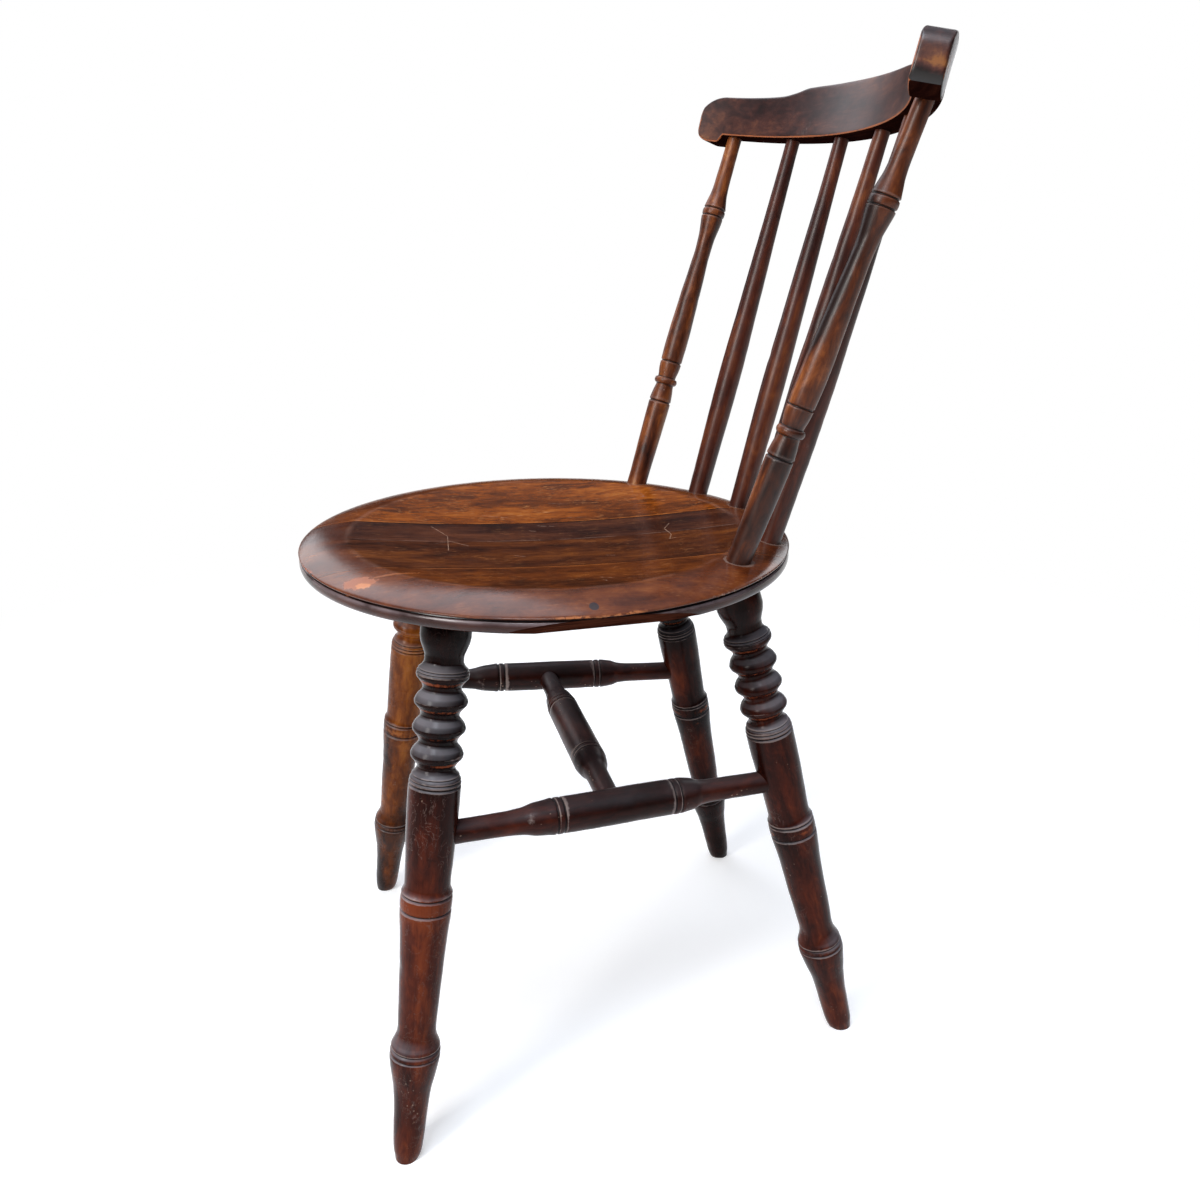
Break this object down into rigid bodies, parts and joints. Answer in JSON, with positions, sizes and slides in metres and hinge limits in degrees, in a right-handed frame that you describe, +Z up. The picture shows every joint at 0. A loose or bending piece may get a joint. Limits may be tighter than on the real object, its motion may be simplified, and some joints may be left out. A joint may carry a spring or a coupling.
{
  "type": "round-seat spindle-back wooden chair",
  "caption": "Dark polished kitchen chair with a round board seat, splayed turned legs joined by an H of stretchers, and a curved crest rail on turned posts and spindles",
  "frame": {"origin": "middle of the footprint of the whole chair, on the floor", "axes": "+Z up; the chair faces -Y; the sitter's left is +X"},
  "size_m": [0.4, 0.4824, 0.8012],
  "materials": {
    "seat_boards": "dark stain under worn gloss polish, boards glued edge to edge",
    "legs": "turned, dark red-brown stain under gloss polish, worn on the ring crests",
    "stretchers": "turned, dark stain under gloss polish",
    "back_posts": "turned, golden-brown stain under gloss polish",
    "spindles": "turned, dark stain under gloss polish",
    "crest_rail": "dark purple-brown stain under worn satin polish, bare wood along the edges"
  },
  "bodies": {
    "root": {"seat_board_right": "seat_boards", "seat_board_inner_right": "seat_boards", "seat_board_inner_left": "seat_boards", "seat_board_left": "seat_boards", "front_left_leg": "legs", "front_right_leg": "legs", "rear_left_leg": "legs", "rear_right_leg": "legs", "left_side_stretcher": "stretchers", "right_side_stretcher": "stretchers", "middle_stretcher": "stretchers", "left_back_post": "back_posts", "right_back_post": "back_posts", "outer_left_spindle": "spindles", "inner_left_spindle": "spindles", "inner_right_spindle": "spindles", "outer_right_spindle": "spindles", "crest_rail": "crest_rail"}
  },
  "joints": []
}
